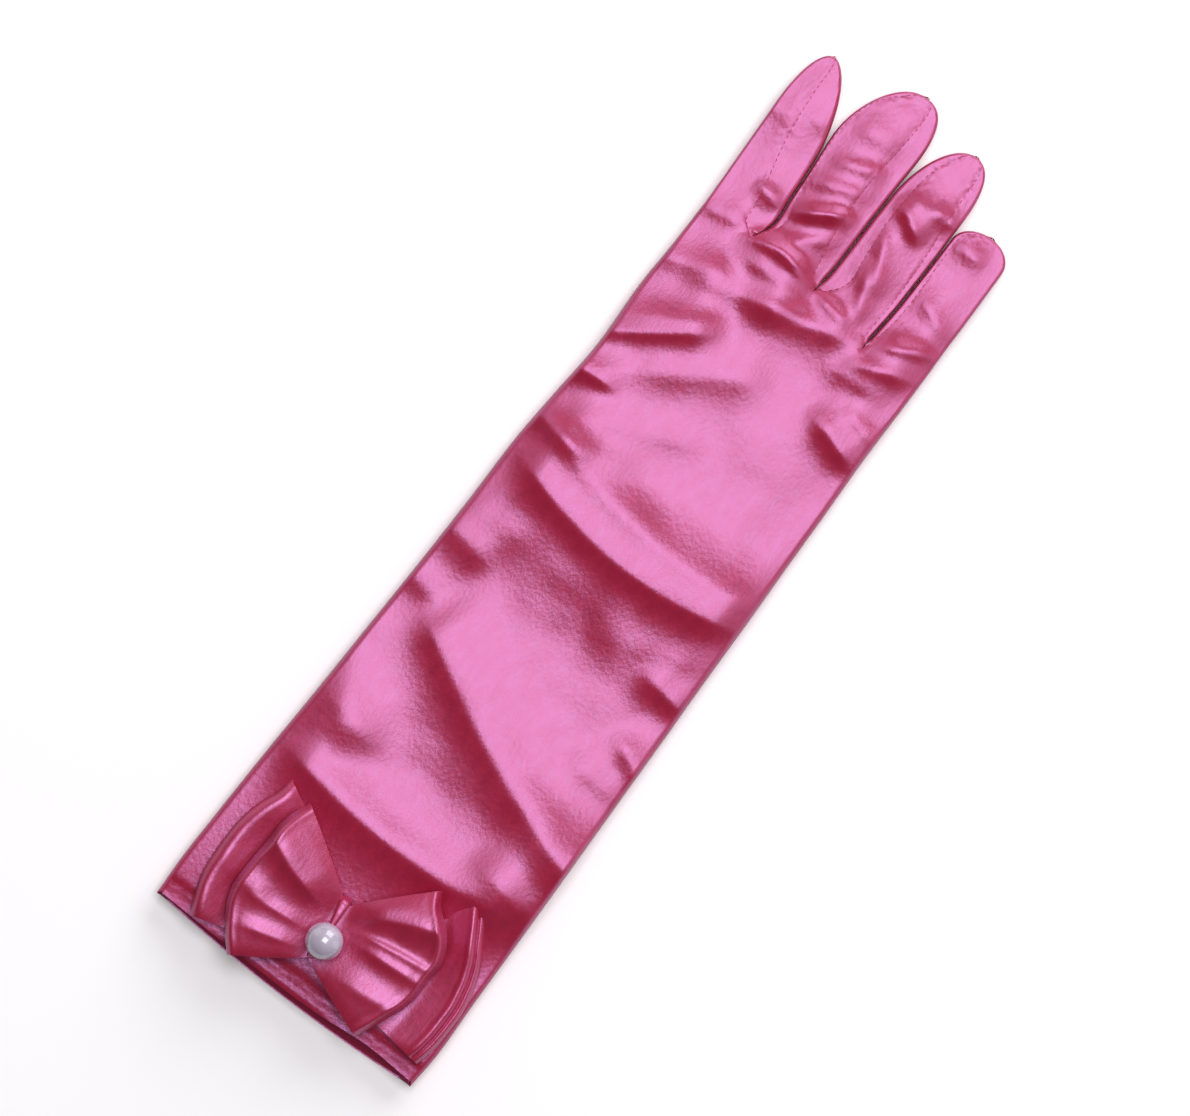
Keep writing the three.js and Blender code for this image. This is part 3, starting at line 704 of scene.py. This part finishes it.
# %% Outlines and pleats of the bow
LOOP_COLUMNS = ("across", "left_x", "left_y", "right_x", "right_y")
FRONT_LOOPS = table(
    LOOP_COLUMNS,
    [
        (0.0, -19.7, -2.4, 25.5, 1.4),
        (0.1, -23.5, 1.8, 27.8, 6.6),
        (0.2, -26.9, 6.3, 30.0, 11.9),
        (0.3, -29.6, 10.9, 32.1, 17.2),
        (0.4, -31.1, 16.1, 33.0, 22.6),
        (0.5, -31.2, 21.6, 32.8, 28.2),
        (0.6, -31.0, 27.1, 32.9, 34.0),
        (0.7, -30.7, 32.7, 30.9, 39.3),
        (0.8, -30.8, 38.2, 27.3, 43.6),
        (0.9, -29.6, 43.4, 22.8, 47.2),
        (1.0, -27.5, 48.6, 19.8, 51.8),
    ],
)
BACK_LOOPS = table(
    LOOP_COLUMNS,
    [
        (0.0, -35.7, 0.1, 45.2, 5.9),
        (0.1, -37.9, 4.9, 46.2, 10.5),
        (0.2, -39.8, 9.8, 46.8, 15.5),
        (0.3, -40.9, 14.9, 46.9, 20.6),
        (0.4, -41.3, 20.1, 46.8, 25.8),
        (0.5, -41.5, 25.4, 45.9, 31.0),
        (0.6, -41.3, 30.6, 44.4, 36.4),
        (0.7, -40.5, 35.8, 42.2, 41.4),
        (0.8, -39.1, 40.8, 39.2, 46.4),
        (0.9, -37.1, 45.7, 36.0, 51.6),
        (1.0, -36.1, 50.7, 32.6, 56.8),
    ],
)
# The pleats have the columns of the folds
FRONT_PLEATS = [
    # right loop
    (0, 27, 40, 44.5, -3.0, 3.8, 9, 6.5, 0.8, 1.0),
    (2, 25, 40, 31, -1.0, 0.9, 1.0, 3, 0.6),
    (6, 23.5, 38, 26, 0.0, 1.2, 2, 2.4, 0.8),
    (3, 12.5, 40, 16, 1.0, 1.3, 4, 4, 1.2, 1.2),
    # left loop
    (-42, 44, 0, 27.5, 5.0, 3.8, 8, 5.0, 0.8, -0.8),
    (-28, 16, -2, 18.5, 0.0, 0.8, 2, 2, 0.6),
    (-38, 19, -18, 17, 0.0, 1.2, 5, 3.6, 1.6),
    (-26, 6, -1, 13.5, 0.0, 0.9, 2.5, 2, 0.6),
]
BACK_PLEATS = [
    (-42, 20, -30, 18, 0.0, 0.5, 4, 4, 2.0),
    (30, 40, 46, 47, 0.0, 0.5, 4, 4, 2.0),
]
PINCH_Y, PINCH_LENGTH = 21.0, 18.5


def build_bow_layer(name, loops, seat, pinch, shape, pleats, around, across):
    """One layer of the bow. seat: heights of its lower side at the pinch and further out. shape: how
    its upper side stands above its lower side, from the pinch at 0 to the outer fold at 1."""
    angle = np.linspace(0, 2 * math.pi, around + 1)[:-1, None]
    share = np.linspace(0, 1, across + 1)[None, :]
    out = np.abs(np.cos(angle))
    right = np.cos(angle) >= 0
    upper = np.sin(angle) > 1e-9
    end = {}
    for key in ("x", "y"):
        on_right = curve(share, loops["across"], loops["right_" + key])
        on_left = curve(share, loops["across"], loops["left_" + key])
        end[key] = np.where(right, on_right, on_left)
    x = end["x"] * out
    pinch_y = PINCH_Y + PINCH_LENGTH * (share - 0.5)
    y = pinch_y + (end["y"] - pinch_y) * out**0.9
    closing = np.sqrt(np.clip(1 - (np.clip(out - 0.9, 0, 1) / 0.1) ** 2, 0, 1))
    selvedge = 1 - 0.35 * np.abs(2 * share - 1) ** 9 * smooth(out / 0.4)
    side_shape = [curve(out, shape["out"], shape[side]) for side in ("left", "right")]
    stands = pinch + (np.where(right, side_shape[1], side_shape[0]) - pinch) * smooth(out / 0.15)
    soft = relief(x, y, pleats) * smooth(out / 0.2) * smooth((1 - out) / 0.06)
    low = seat[0] + (seat[1] - seat[0]) * smooth(out / 0.4) - 1.2 * (x / HALF_WIDTH) ** 4
    rumple = 0.2 * ripple(x, y, 11, 5.0) + 0.03 * ripple(x, y, 4, 9.0)
    z = low + upper * (stands * selvedge + soft + rumple) * closing
    points = to_frame(x, y, z).reshape(-1, 3)
    ids = np.arange(x.size).reshape(x.shape)
    ids = np.concatenate((ids, ids[:1]), axis=0)
    plan = np.stack((x, y), axis=-1).reshape(-1, 2)
    return thicken(clean_object(name, points, grid_faces(ids), plan), BOW_WALL, offset=0.0)


def stand(rows):
    """How high a loop's upper side stands above its lower side, for the left and right loop."""
    return table(("out", "left", "right"), rows)


bow_back = build_bow_layer(
    "bow_back_satin", BACK_LOOPS, (12.6, 12.4), 1.8,
    stand([(0, 1.8, 1.8), (0.3, 1.6, 1.6), (0.6, 0.8, 0.8), (0.72, 0.4, 0.4), (0.8, 1.7, 1.7),
           (0.88, 3.1, 3.1), (0.93, 3.9, 3.9), (0.955, 4.2, 2.3), (0.975, 4.1, 3.7), (1, 3.5, 3.3)]),
    BACK_PLEATS, 320, 60,
)
bow_front = build_bow_layer(
    "bow_front_satin", FRONT_LOOPS, (15.6, 15.7), 1.9,
    stand([(0, 1.9, 1.9), (0.2, 2.6, 2.6), (0.4, 3.6, 3.6), (0.6, 4.3, 4.2), (0.8, 4.6, 4.4),
           (0.9, 4.6, 4.4), (0.95, 4.9, 4.9), (1, 4.4, 4.4)]),
    FRONT_PLEATS, 300, 80,
)
print("bow quads:", len(bow_back.data.polygons), len(bow_front.data.polygons))

# %% [markdown]
# ## The wrap and the pearl
# A narrow strap of satin goes over the bow's middle and down to the sleeve on both sides, which is
# what pinches the two layers. The pearl sits on it, exactly where the frame has it.

# %% The wrap at the bow's middle, and the pearl
WRAP_PATH = table(
    ("t", "x", "y", "z", "half"),
    [
        (0.0, -1.2, 32.9, 11.9, 1.6),
        (0.12, -1.2, 32.6, 15.5, 1.6),
        (0.22, -1.1, 31.4, 18.6, 1.6),
        (0.35, -0.8, 28.5, 19.3, 1.4),
        (0.5, -0.2, 24.0, 19.2, 1.0),
        (0.7, 0.2, 17.5, 19.0, 1.2),
        (0.83, 0.3, 13.2, 18.7, 1.2),
        (0.92, 0.3, 12.0, 16.0, 1.2),
        (1.0, 0.3, 11.7, 12.2, 1.2),
    ],
)


def build_wrap():
    """A narrow rounded strap that follows the wrap's path over the bow."""
    t = np.linspace(0, 1, 90)
    path = np.stack([curve(t, WRAP_PATH["t"], WRAP_PATH[k]) for k in ("x", "y", "z")], axis=1)
    half = curve(t, WRAP_PATH["t"], WRAP_PATH["half"])[:, None]
    ahead = np.gradient(path, axis=0)
    aside = np.array([1.0, 0.0, 0.0])
    up = np.cross(aside, -ahead)
    up /= np.linalg.norm(up, axis=1)[:, None]
    angle = np.linspace(0, 2 * math.pi, 25)[:-1]
    wide = np.sign(np.cos(angle)) * np.abs(np.cos(angle)) ** 0.8
    tall = np.where(np.sin(angle) > 0, 0.75, 0.2) * np.sin(angle)
    rings = path[:, None, :] + (half * wide)[:, :, None] * aside + tall[:, None] * up[:, None, :]
    count = len(angle)
    ids = np.arange(len(path) * count).reshape(-1, count)
    ids = np.concatenate((ids, ids[:, :1]), axis=1)
    points = np.concatenate((rings.reshape(-1, 3), path[:1], path[-1:]))
    faces = grid_faces(ids).tolist()
    for a, b in zip(ids[0][:-1], ids[0][1:]):
        faces.append([len(points) - 2, b, a])
    for a, b in zip(ids[-1][:-1], ids[-1][1:]):
        faces.append([len(points) - 1, a, b])
    mesh = bpy.data.meshes.new("bow_wrap_satin")
    mesh.from_pydata(to_frame(*points.T).tolist(), [], faces)
    mesh.polygons.foreach_set("use_smooth", [True] * len(mesh.polygons))
    corners = np.zeros(len(mesh.loops), int)
    mesh.loops.foreach_get("vertex_index", corners)
    mesh.uv_layers.new(name="plan").data.foreach_set("uv", (points[:, :2][corners] / 100).ravel())
    made = bpy.data.objects.new("bow_wrap_satin", mesh)
    bpy.context.collection.objects.link(made)
    return made


bow_wrap = build_wrap()

pearl_low, pearl_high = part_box("pearl")
pearl_radius = (pearl_high.z - pearl_low.z) / 2
bpy.ops.mesh.primitive_uv_sphere_add(segments=64, ring_count=32, radius=pearl_radius)
pearl = bpy.context.object
pearl.name = "pearl_bead"
pearl.data.transform(Matrix.Translation((pearl_low + pearl_high) / 2))
for face in pearl.data.polygons:
    face.use_smooth = True

# %% [markdown]
# ## Stitches
# The hem and the finger seams are sewn. Geometry Nodes lay one small stitch after another along each
# line, which keeps their spacing even.

# %% Stitch lines
stitch_lines = [line[2:-3] for line in seam_lines]
hem_x = np.linspace(-46.5, 46.8, 140)
hem_y = HEM_LINE + 0.25 * np.sin(hem_x / 6) + 1.3 * smooth((hem_x - 24) / 14)
stitch_lines.append(np.stack((hem_x, hem_y), axis=1))


def build_stitch_lines():
    """Edges that follow the sewn lines just above the satin."""
    points, edges = [], []
    for line in stitch_lines:
        x, y = line[:, 0], line[:, 1]
        z = back_height(x, y, np.zeros(len(x), bool)) + 0.06
        start = len(points)
        points += to_frame(x, y, z).tolist()
        edges += [(start + i, start + i + 1) for i in range(len(x) - 1)]
    mesh = bpy.data.meshes.new("stitch_lines")
    mesh.from_pydata(points, edges, [])
    made = bpy.data.objects.new("stitch_lines", mesh)
    bpy.context.collection.objects.link(made)
    return made


def stitch_tree():
    """Node tree that lays stitches along curves."""
    tree = bpy.data.node_groups.new("stitches", "GeometryNodeTree")
    face = tree.interface
    face.new_socket("Geometry", in_out="INPUT", socket_type="NodeSocketGeometry")
    for name in ("Spacing", "Length", "Thickness"):
        face.new_socket(name, in_out="INPUT", socket_type="NodeSocketFloat")
    face.new_socket("Seed", in_out="INPUT", socket_type="NodeSocketInt")
    face.new_socket("Thread", in_out="INPUT", socket_type="NodeSocketMaterial")
    face.new_socket("Geometry", in_out="OUTPUT", socket_type="NodeSocketGeometry")
    node = tree.nodes.new
    start, end = node("NodeGroupInput"), node("NodeGroupOutput")
    to_curve = node("GeometryNodeMeshToCurve")
    resample = node("GeometryNodeResampleCurve")
    resample.mode = "LENGTH"
    bead = node("GeometryNodeMeshIcoSphere")
    bead.inputs["Radius"].default_value = 1.0
    bead.inputs["Subdivisions"].default_value = 2
    size = node("ShaderNodeCombineXYZ")
    half_length = node("ShaderNodeMath")
    half_thick = node("ShaderNodeMath")
    for half in (half_length, half_thick):
        half.operation = "MULTIPLY"
        half.inputs[1].default_value = 0.5
    tangent = node("GeometryNodeInputTangent")
    turn = node("FunctionNodeAlignRotationToVector")
    turn.axis = "X"
    vary = node("FunctionNodeRandomValue")
    vary.data_type = "FLOAT"
    vary.inputs[2].default_value = 0.8
    vary.inputs[3].default_value = 1.1
    scale = node("ShaderNodeVectorMath")
    scale.operation = "SCALE"
    place = node("GeometryNodeInstanceOnPoints")
    real = node("GeometryNodeRealizeInstances")
    paint = node("GeometryNodeSetMaterial")
    link = tree.links.new
    link(start.outputs["Geometry"], to_curve.inputs["Mesh"])
    link(to_curve.outputs["Curve"], resample.inputs["Curve"])
    link(start.outputs["Spacing"], resample.inputs["Length"])
    link(start.outputs["Length"], half_length.inputs[0])
    link(start.outputs["Thickness"], half_thick.inputs[0])
    link(half_length.outputs[0], size.inputs["X"])
    link(half_thick.outputs[0], size.inputs["Y"])
    link(half_thick.outputs[0], size.inputs["Z"])
    link(size.outputs[0], scale.inputs[0])
    link(start.outputs["Seed"], vary.inputs["Seed"])
    link(vary.outputs[1], scale.inputs["Scale"])
    link(tangent.outputs[0], turn.inputs["Vector"])
    link(resample.outputs["Curve"], place.inputs["Points"])
    link(bead.outputs["Mesh"], place.inputs["Instance"])
    link(turn.outputs["Rotation"], place.inputs["Rotation"])
    link(scale.outputs["Vector"], place.inputs["Scale"])
    link(place.outputs["Instances"], real.inputs["Geometry"])
    link(real.outputs["Geometry"], paint.inputs["Geometry"])
    link(start.outputs["Thread"], paint.inputs["Material"])
    link(paint.outputs["Geometry"], end.inputs["Geometry"])
    return tree


# %% [markdown]
# ## Satin, thread and pearl
# Satin is a dark red cloth under a pale pink sheen. Its floats run along the glove, so the sheen
# changes quickly along them and slowly across: that is an anisotropic highlight.


# %% Materials
def node_material(name):
    """A new material, its node tree and its shader."""
    material = bpy.data.materials.new(name)
    material.use_nodes = True
    tree = material.node_tree
    return material, tree, tree.nodes["Principled BSDF"]


def colour_mix(tree, factor, low, high):
    """A colour between two, by a factor from a node."""
    mix = tree.nodes.new("ShaderNodeMix")
    mix.data_type = "RGBA"
    mix.inputs["A"].default_value = (*low, 1)
    mix.inputs["B"].default_value = (*high, 1)
    tree.links.new(factor, mix.inputs["Factor"])
    return mix.outputs["Result"]


def grain(tree, scale, stretch, detail):
    """Noise over the plan, stretched along the glove. scale counts its grains in 100 mm."""
    place = tree.nodes.new("ShaderNodeUVMap")
    place.uv_map = "plan"
    mapping = tree.nodes.new("ShaderNodeMapping")
    mapping.inputs["Scale"].default_value = (1.0, stretch, 1.0)
    noise_node = tree.nodes.new("ShaderNodeTexNoise")
    noise_node.inputs["Scale"].default_value = scale
    noise_node.inputs["Detail"].default_value = detail
    tree.links.new(place.outputs["UV"], mapping.inputs["Vector"])
    tree.links.new(mapping.outputs["Vector"], noise_node.inputs["Vector"])
    return noise_node.outputs["Fac"]


def satin(name, deep, pale, stretched):
    """Satin with a deep body colour and a pale sheen."""
    material, tree, shader = node_material(name)
    shader.inputs["IOR"].default_value = 1.9
    shader.inputs["Specular IOR Level"].default_value = 0.8
    shader.inputs["Specular Tint"].default_value = (*pale, 1)
    shader.inputs["Anisotropic"].default_value = stretched
    tangent = tree.nodes.new("ShaderNodeTangent")
    tangent.direction_type = "UV_MAP"
    tangent.uv_map = "plan"
    tree.links.new(tangent.outputs["Tangent"], shader.inputs["Tangent"])
    mottle = grain(tree, 34, 0.5, 3)
    lighter = tuple(1.25 * c for c in deep)
    darker = tuple(0.8 * c for c in deep)
    tree.links.new(colour_mix(tree, mottle, darker, lighter), shader.inputs["Base Color"])
    rough = tree.nodes.new("ShaderNodeMapRange")
    rough.inputs["To Min"].default_value = 0.34
    rough.inputs["To Max"].default_value = 0.42
    tree.links.new(mottle, rough.inputs["Value"])
    tree.links.new(rough.outputs["Result"], shader.inputs["Roughness"])
    bump = tree.nodes.new("ShaderNodeBump")
    bump.inputs["Strength"].default_value = 0.35
    bump.inputs["Distance"].default_value = 0.00024
    tree.links.new(grain(tree, 90, 0.6, 4), bump.inputs["Height"])
    tree.links.new(bump.outputs["Normal"], shader.inputs["Normal"])
    return material


satin_shell = satin("satin_shell", (0.335, 0.009, 0.032), (0.94, 0.49, 1.0), 0.75)
satin_hem = satin("satin_hem", (0.31, 0.009, 0.029), (0.9, 0.44, 0.95), 0.5)
satin_bow = satin("satin_bow", (0.335, 0.009, 0.030), (0.94, 0.48, 0.97), 0.3)



def clouded(name, scale, detail, low, high, roughness):
    """A material whose colour drifts between two. scale counts its clouds in a metre."""
    material, tree, shader = node_material(name)
    cloud = tree.nodes.new("ShaderNodeTexNoise")
    cloud.inputs["Scale"].default_value = scale
    cloud.inputs["Detail"].default_value = detail
    where = tree.nodes.new("ShaderNodeTexCoord")
    tree.links.new(where.outputs["Object"], cloud.inputs["Vector"])
    tree.links.new(colour_mix(tree, cloud.outputs["Fac"], low, high), shader.inputs["Base Color"])
    shader.inputs["Roughness"].default_value = roughness
    return material


thread = clouded("thread", 900, 2, (0.26, 0.016, 0.045), (0.5, 0.06, 0.17), 0.6)
nacre = clouded("nacre", 180, 3, (0.34, 0.285, 0.38), (0.53, 0.475, 0.57), 0.22)
nacre_shader = nacre.node_tree.nodes["Principled BSDF"]
nacre_shader.inputs["IOR"].default_value = 1.6
nacre_shader.inputs["Coat Weight"].default_value = 0.8
nacre_shader.inputs["Coat Roughness"].default_value = 0.06

stitches_base = build_stitch_lines()
sewing = stitches_base.modifiers.new("sewing", "NODES")
sewing.node_group = stitch_tree()
sockets = {
    item.name: item.identifier
    for item in sewing.node_group.interface.items_tree
    if item.in_out == "INPUT"
}
sewing[sockets["Spacing"]] = 1.9 * MM
sewing[sockets["Length"]] = 1.25 * MM
sewing[sockets["Thickness"]] = 0.26 * MM
sewing[sockets["Seed"]] = 7
sewing[sockets["Thread"]] = thread
evaluated = stitches_base.evaluated_get(bpy.context.evaluated_depsgraph_get())
stitch_mesh = bpy.data.meshes.new_from_object(evaluated)
stitch_mesh.name = "stitches"
stitches = bpy.data.objects.new("stitches", stitch_mesh)
bpy.context.collection.objects.link(stitches)
bpy.data.objects.remove(stitches_base)
print("stitch faces:", len(stitch_mesh.polygons))

# %% [markdown]
# ## What each piece stands for
# Every piece rides on the glove's one body and gets its material, and the frame's nodes that it stands
# for are hidden. The two layers of the bow are sheets of cloth, cut as wide as a loop's end and as
# long as both loops, over and under.


# %% Pieces, bodies and cloth
def settle(piece, material, slot, *nodes):
    """Gives a piece its material and body, and hides the nodes that it stands for. The slot argument
    is not used.
    """
    if not piece.data.materials:
        piece.data.materials.append(material)
    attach(piece, "root")
    if nodes:
        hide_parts(*nodes)


settle(hand_back, satin_shell, "satin_shell", "hand_and_arm")
settle(hand_palm, satin_shell, "satin_shell", "hand_and_arm")
for node, piece in gussets.items():
    settle(piece, satin_shell, "satin_shell", node)
settle(thumb, satin_shell, "satin_shell", "thumb")
settle(cuff_hem, satin_hem, "satin_hem", "cuff_hem")
settle(bow_back, satin_bow, "satin_bow", "bow_back_layer")
settle(bow_front, satin_bow, "satin_bow", "bow_front_layer")
settle(bow_wrap, satin_bow, "satin_bow", "bow_centre_wrap")
settle(pearl, nacre, "pearl", "pearl")
settle(stitches, thread, "satin_hem")

# %% [markdown]
# ## Light and camera
# One large soft light hangs over the glove, a little towards the fingertips, so level cloth is pale
# and cloth that falls towards the cuff is dark. A low light beyond the fingertips keeps the floor
# white, and two weak ones at the sides lift the glove's rims.

# %% Camera, lights and floor
VIEW_TURN = 37.5  # degrees by which the glove is turned in the picture
VIEW_CENTRE = (-4.57, 158.7)  # place of the plan in the middle of the picture
VIEW_HEIGHT = 10.0  # height above the floor that is seen at scale
VIEW_WIDTH = 357.0
LENS = 290.0
SENSOR = 36.0

camera_data = bpy.data.cameras.new("camera")
camera_data.lens = LENS
camera_data.sensor_width = SENSOR
camera = bpy.data.objects.new("camera", camera_data)
bpy.context.collection.objects.link(camera)
centre = to_frame(*VIEW_CENTRE, VIEW_HEIGHT)
camera.location = Vector(centre) + Vector((0, 0, VIEW_WIDTH * MM * LENS / SENSOR))
camera.rotation_euler = (0, 0, math.radians(VIEW_TURN))
bpy.context.scene.camera = camera


def soft_light(name, place, size, radiance, colour=(1.0, 1.0, 1.0)):
    """A square soft light that looks at the middle of the glove. Place and size in metres."""
    data = bpy.data.lights.new(name, "AREA")
    data.shape = "SQUARE"
    data.size = size
    data.energy = radiance * math.pi * size**2
    data.color = colour
    lamp = bpy.data.objects.new(name, data)
    lamp.location = place
    lamp.rotation_euler = Vector(place).to_track_quat("Z", "Y").to_euler()
    bpy.context.collection.objects.link(lamp)
    return lamp


soft_light("overhead", (0.0, 0.46, 3.0), 1.64, 8.0, (1.0, 0.97, 1.0))
soft_light("left_fill", (-1.7, 0.5, 0.55), 1.2, 0.7)
soft_light("right_fill", (1.7, 0.5, 0.55), 1.2, 0.7)
soft_light("end_fill", (0.0, 1.9, 1.1), 1.6, 4.2)
world = bpy.data.worlds.new("studio")
world.use_nodes = True
world.node_tree.nodes["Background"].inputs["Color"].default_value = (1.0, 0.98, 0.98, 1)
world.node_tree.nodes["Background"].inputs["Strength"].default_value = 0.08
bpy.context.scene.world = world
bpy.context.scene.view_settings.view_transform = "Standard"

bpy.ops.mesh.primitive_plane_add(size=6.0)
floor = bpy.context.object
floor.name = "floor"
paper, _, paper_shader = node_material("paper")
paper_shader.inputs["Base Color"].default_value = (0.95, 0.95, 0.95, 1)
floor.data.materials.append(paper)
floor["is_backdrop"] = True

# %% [markdown]
# ## Sizes
# The box around every shown piece, the floor left out, is measured and printed in millimetres. The
# finished model has to fill the frame's box and no more, apart from what cloth may stand proud.

# %% Sizes and finish
low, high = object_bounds()
print("visual box in mm:", [round(1000 * v, 1) for v in high - low])
